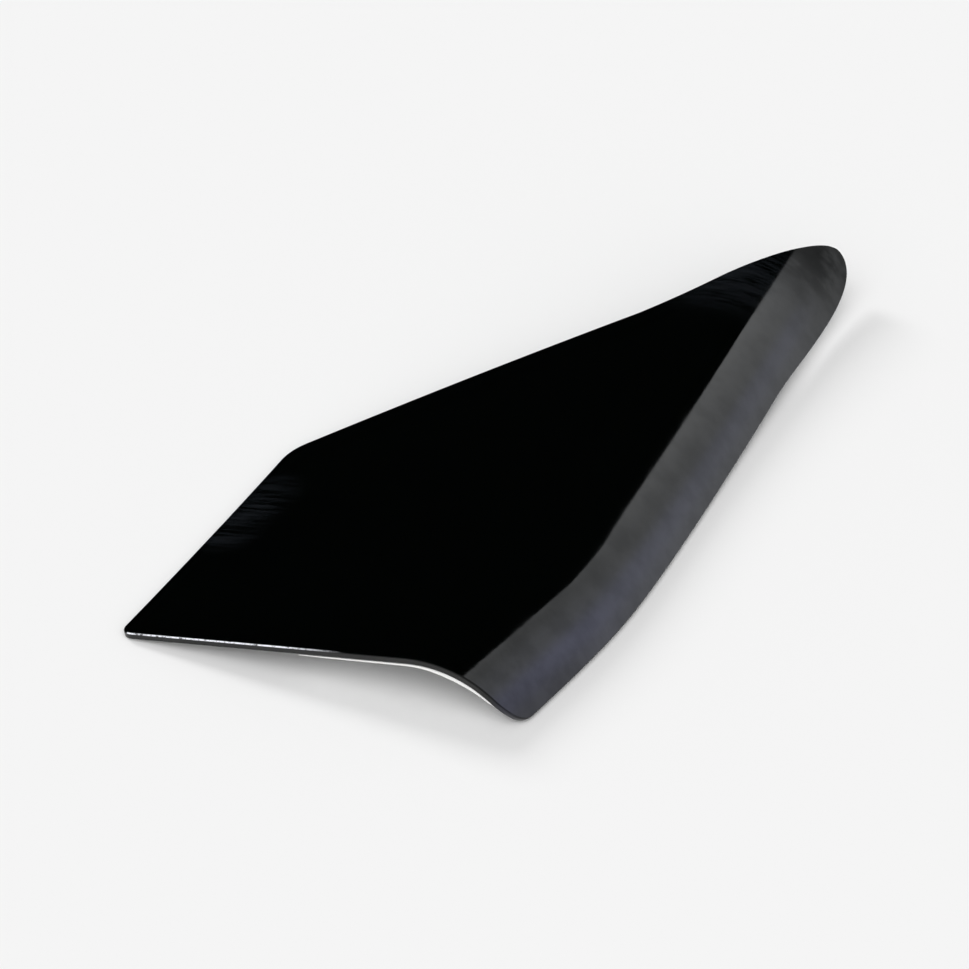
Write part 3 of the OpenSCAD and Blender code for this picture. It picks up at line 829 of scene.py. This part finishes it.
# ---------------------------------------------------------------- edge strip
STRIP_FROM, STRIP_TO, STRIP_DEPTH, STRIP_T = 84, 174, 12, 1.0
STRIP_GAP, STRIP_FRONT, STRIP_END = 0.15, 0.2, 0.35
STRIP_STEPS, STRIP_ROUND = 90, 0.3
STRIP_SWELL, STRIP_SWELL_AT, STRIP_SWELL_WIDE = 1.2, 0.79, 0.17


def strip_front(x):
    """How far the strip's front is behind the mouth line, which follows the rounded corner."""
    start = rim_x(0) - MOUTH_RIGHT_R
    if x < start:
        return STRIP_FRONT
    return STRIP_FRONT + MOUTH_RIGHT_R - math.sqrt(MOUTH_RIGHT_R ** 2 - (x - start) ** 2)


def strip_thick(t):
    """Thickness along the strip: thin at both ends, fullest where the blade bends."""
    swell = 1 + STRIP_SWELL * math.exp(-((t - STRIP_SWELL_AT) / STRIP_SWELL_WIDE) ** 2)
    return STRIP_T * (STRIP_END + (1 - STRIP_END) * math.sqrt(max(0, math.sin(math.pi * t)))) * swell


def make_strip(mat):
    """Thin strip under the mouth edge, with a rounded front and thin ends."""
    rings = []
    for i in range(STRIP_STEPS + 1):
        t = i / STRIP_STEPS
        x, thick = STRIP_FROM + (STRIP_TO - STRIP_FROM) * t, strip_thick(t)
        front, r = strip_front(x), min(STRIP_ROUND, thick * 0.4)
        top = -(THICK / 2 + STRIP_GAP)
        low = top - thick
        ring = [(front + r * (1 - math.cos(w)), top - r * (1 - math.sin(w)))
                for w in reversed(quarter_steps(4))]
        ring += [(front + r * (1 - math.cos(w)), low + r * (1 - math.sin(w)))
                 for w in quarter_steps(4)]
        ring += [(STRIP_DEPTH, low), (STRIP_DEPTH, top)]
        rings.append([on_surface(x, y, off) for y, off in ring])
    points, faces = loft(rings)
    strip = make_piece("edge_strip_band", [row(p) for p in points], faces, mat)
    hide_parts("edge_strip")


# ---------------------------------------------------------------- lever grips
GRIP_RIBS, GRIP_PITCH, GRIP_SIDE, GRIP_END = 4, 1.9, 3, 3
GRIP_R, GRIP_SINK, GRIP_FLAT = 0.45, 0.05, 0.8
GRIP_STEPS = 24


def make_grip(name, at, span, body, mat):
    """Low ribs across the lever's thumb tab."""
    half = CHEEK_GAP / 2 - LEVER_GAP - GRIP_SIDE
    height = PIN_DOWN + LEVER_T - GRIP_SINK
    parts = []
    for k in range(GRIP_RIBS):
        x = span / 2 + LEVER_LEN - GRIP_END - GRIP_PITCH * k
        rings = []
        for i, y in enumerate(np.linspace(-half, half, GRIP_STEPS + 1)):
            r = GRIP_R * min(1, 0.35 + min(i, GRIP_STEPS - i) / 2)
            rings.append([Vector((x + r * math.cos(w), y, height + GRIP_FLAT * r * math.sin(w)))
                          for w in round_steps(10)])
        parts.append(loft(rings))
    points, faces = gather(parts)
    make_piece(name, points, faces, mat, body=body, world=underside(at))


# ---------------------------------------------------------------- stage and light
# PAPER is the floor's brightness in the picture. The key gives SUN_SHARE of it and the sky the rest.
PAPER = 0.913
FLOOR_COLOUR = 0.86
SUN_SHARE = 0.19
SUN_FROM = Vector((-1.63, 0.86, 1.02)).normalized()
SUN_SPREAD = math.radians(20)
UNDER_FROM = Vector((-0.35, -0.45, -0.82)).normalized()
UNDER_SPREAD, UNDER_ENERGY = math.radians(30), 2.4
FRONT_WAY = Vector((0.25, -0.87, 0.40)).normalized()
FRONT_INNER, FRONT_OUTER = math.radians(15), math.radians(78)
SKY_BACK, SKY_FRONT = 0.12, 1.0
FLOOR_HALF = 40.0
# The card's left side is a curve, whose mirror image is where the rim turns from black to grey.
CARD_AT = 1000
CARD_LEFT = [(372, 0), (352, 250), (340, 520), (400, 600), (505, 690), (565, 860), (540, 1060),
             (478, 1210), (470, 1700)]
CARD_RIGHT, CARD_RAMP_FROM = 2600, 340
CARD_RAMP = [(0.00, (1.20, 1.22, 1.24)), (0.14, (0.86, 0.88, 0.90)), (0.28, (1.06, 1.09, 1.17)),
             (0.41, (1.22, 1.25, 1.40)), (0.52, (1.02, 1.04, 1.14)), (1.00, (0.80, 0.82, 0.86))]


def emission(name, colour_socket_maker):
    """A glowing material that isn't sampled as a light."""
    mat = bpy.data.materials.new(name)
    mat.use_nodes = True
    tree = mat.node_tree
    tree.nodes.clear()
    out = tree.nodes.new("ShaderNodeOutputMaterial")
    glow = tree.nodes.new("ShaderNodeEmission")
    tree.links.new(colour_socket_maker(tree), glow.inputs["Color"])
    tree.links.new(glow.outputs[0], out.inputs["Surface"])
    mat.cycles.emission_sampling = "NONE"
    return mat


def ramp(tree, fac, stops):
    n = tree.nodes.new("ShaderNodeValToRGB")
    n.color_ramp.interpolation = "EASE"
    while len(n.color_ramp.elements) < len(stops):
        n.color_ramp.elements.new(0.5)
    for e, (place, colour) in zip(n.color_ramp.elements, stops):
        e.position = place
        e.color = (*colour, 1)
    tree.links.new(fac, n.inputs["Fac"])
    return n.outputs["Color"]


def make_card():
    """A tall pale card behind and to the right, seen only in reflections."""
    left = [row((x, CARD_AT, z)) for x, z in CARD_LEFT]
    right = [row((CARD_RIGHT, CARD_AT, z)) for x, z in CARD_LEFT]
    n = len(left)
    mesh = bpy.data.meshes.new("card")
    mesh.from_pydata([tuple(p) for p in left + right], [],
                     [(i, n + i, n + i + 1, i + 1) for i in range(n - 1)])

    def colour(tree):
        where = tree.nodes.new("ShaderNodeTexCoord").outputs["Object"]
        across = add(tree, "ShaderNodeSeparateXYZ", {0: where}).outputs["X"]
        a, b = row((CARD_RAMP_FROM, 0, 0)).x, row((CARD_RIGHT, 0, 0)).x
        return ramp(tree, remap(tree, across, a, b), CARD_RAMP)
    mesh.materials.append(emission("card_white", colour))
    card = bpy.data.objects.new("card", mesh)
    bpy.context.scene.collection.objects.link(card)
    for ray in ("camera", "diffuse", "shadow", "transmission", "volume_scatter"):
        setattr(card, "visible_" + ray, False)


def make_floor():
    """A level matt floor, clear from below and to shadow rays that cross it."""
    mesh = bpy.data.meshes.new("floor")
    h = FLOOR_HALF
    mesh.from_pydata([(-h, -h, 0), (h, -h, 0), (h, h, 0), (-h, h, 0)], [], [(0, 1, 2, 3)])
    mat = bpy.data.materials.new("floor_paper")
    mat.use_nodes = True
    tree = mat.node_tree
    tree.nodes.clear()
    matt = add(tree, "ShaderNodeBsdfDiffuse", {"Color": (FLOOR_COLOUR,) * 3 + (1,)})
    clear = tree.nodes.new("ShaderNodeBsdfTransparent")
    under = tree.nodes.new("ShaderNodeNewGeometry").outputs["Backfacing"]
    shadow = tree.nodes.new("ShaderNodeLightPath").outputs["Is Shadow Ray"]
    open_way = math_node(tree, "MAXIMUM", under, shadow)
    both = add(tree, "ShaderNodeMixShader", {0: open_way, 1: matt.outputs[0], 2: clear.outputs[0]})
    out = tree.nodes.new("ShaderNodeOutputMaterial")
    tree.links.new(both.outputs[0], out.inputs["Surface"])
    mesh.materials.append(mat)
    floor = bpy.data.objects.new("floor", mesh)
    bpy.context.scene.collection.objects.link(floor)


SKY_ROWS, SKY_TURNS = 45, 90
DARK_WAY = Vector((-0.47, 0.77, 0.40)).normalized()
DARK_INNER, DARK_OUTER = math.radians(62), math.radians(112)
STUDIO_DARK, STUDIO_FRONT = 0.0025, 0.45


def sky_on_floor():
    """Light that a level surface gets from the soft sky, before it is scaled."""
    total = 0.0
    for i in range(SKY_ROWS):
        high = (i + 0.5) / SKY_ROWS * math.pi / 2
        for j in range(SKY_TURNS):
            turn = (j + 0.5) / SKY_TURNS * 2 * math.pi
            way = Vector((math.cos(turn) * math.cos(high), math.sin(turn) * math.cos(high), math.sin(high)))
            t = min(1, max(0, (way.angle(FRONT_WAY) - FRONT_INNER) / (FRONT_OUTER - FRONT_INNER)))
            light = SKY_FRONT + (SKY_BACK - SKY_FRONT) * t * t * (3 - 2 * t)
            total += light * math.sin(high) * math.cos(high)
    return total * (math.pi / 2 / SKY_ROWS) * (2 * math.pi / SKY_TURNS) / math.pi


def make_world():
    """Soft light, mostly from the front, for matt surfaces; reflections see a studio that is dark
    behind and to the left."""
    world = bpy.data.worlds.new("studio")
    bpy.context.scene.world = world
    world.use_nodes = True
    world.cycles.sampling_method = "NONE"
    tree = world.node_tree
    tree.nodes.clear()
    way = tree.nodes.new("ShaderNodeTexCoord").outputs["Generated"]

    def away_from(axis):
        dot = add(tree, "ShaderNodeVectorMath", {0: way, 1: tuple(axis)}, operation="DOT_PRODUCT")
        return math_node(tree, "ARCCOSINE", dot.outputs["Value"])

    bright = remap(tree, away_from(DARK_WAY), DARK_INNER, DARK_OUTER, STUDIO_DARK, STUDIO_FRONT, smooth=True)
    scale = PAPER / FLOOR_COLOUR * (1 - SUN_SHARE) / sky_on_floor()
    sky = remap(tree, away_from(FRONT_WAY), FRONT_INNER, FRONT_OUTER, SKY_FRONT * scale, SKY_BACK * scale,
                smooth=True)
    path = tree.nodes.new("ShaderNodeLightPath")
    value = add(tree, "ShaderNodeMix", {0: path.outputs["Is Diffuse Ray"], 2: bright, 3: sky}).outputs[0]
    value = add(tree, "ShaderNodeMix", {0: path.outputs["Is Camera Ray"], 2: value, 3: PAPER}).outputs[0]
    glow = add(tree, "ShaderNodeBackground", {"Strength": value, "Color": (1, 1, 1, 1)})
    out = tree.nodes.new("ShaderNodeOutputWorld")
    tree.links.new(glow.outputs[0], out.inputs["Surface"])


def make_sun(name, way, spread, energy):
    """A distant light that shows in no reflection."""
    data = bpy.data.lights.new(name, "SUN")
    data.angle = spread
    data.energy = energy
    sun = bpy.data.objects.new(name, data)
    sun.visible_glossy = False
    sun.rotation_mode = "QUATERNION"
    sun.rotation_quaternion = way.to_track_quat("Z", "Y")
    bpy.context.scene.collection.objects.link(sun)


def make_lights():
    """A key from the upper left behind, which with the sky makes the floor paper white, and a
    soft light through the floor for the straps underneath."""
    make_sun("key", SUN_FROM, SUN_SPREAD, PAPER / FLOOR_COLOUR * SUN_SHARE * math.pi / SUN_FROM.z)
    make_sun("under_fill", UNDER_FROM, UNDER_SPREAD, UNDER_ENERGY)


# ---------------------------------------------------------------- build
def dress_cad_nodes(mats):
    """Procedural materials for the CAD nodes that stay."""
    finish = {"hardware": mats["plate"], "bright_steel": mats["turned"], "lever": mats["lever"]}
    for part in frame["record"]["subparts"]:
        obj = frame["nodes"][part["node"]]
        if part["material_slot"] in finish and not obj.hide_render:
            obj.data.materials.clear()
            obj.data.materials.append(finish[part["material_slot"]])


def build():
    mats = {
        "blade": blade_material(),
        "strip": strip_material(),
        "plate": plated_material("plated_sheet_steel", (0.56, 0.57, 0.58), (0.66, 0.67, 0.68),
                                 0.30, 0.44, (60, 900, 900)),
        "turned": plated_material("turned_steel", (0.64, 0.65, 0.66), (0.76, 0.77, 0.78),
                                  0.20, 0.32, (900, 60, 900)),
        "lever": lever_material(),
        "webbing": webbing_material(),
        "thread": thread_material(),
        "foam": foam_material(),
    }
    make_blade(mats["blade"])
    make_strip(mats["strip"])
    for name, at, span, sag in (("hand", HAND_AT, HAND_SPAN, HAND_SAG),
                                ("forearm", FOREARM_AT, FOREARM_SPAN, FOREARM_SAG)):
        make_bosses(name + "_bosses", at, span, mats["blade"])
        make_strap(name, at, span, sag, mats)
        make_grip(name + "_lever_grip", at, span, name + "_lever_body", mats["lever"])
    make_pad("palm_pad_foam", "palm_pad", HAND_AT, PALM_PAD, PALM_GROOVES, mats)
    make_pad("forearm_pad_foam", "forearm_pad", FOREARM_AT, FOREARM_PAD, FOREARM_GROOVES, mats)
    dress_cad_nodes(mats)
    make_floor()
    make_card()
    make_world()
    make_lights()
    bpy.context.scene.view_settings.view_transform = "Standard"


build()
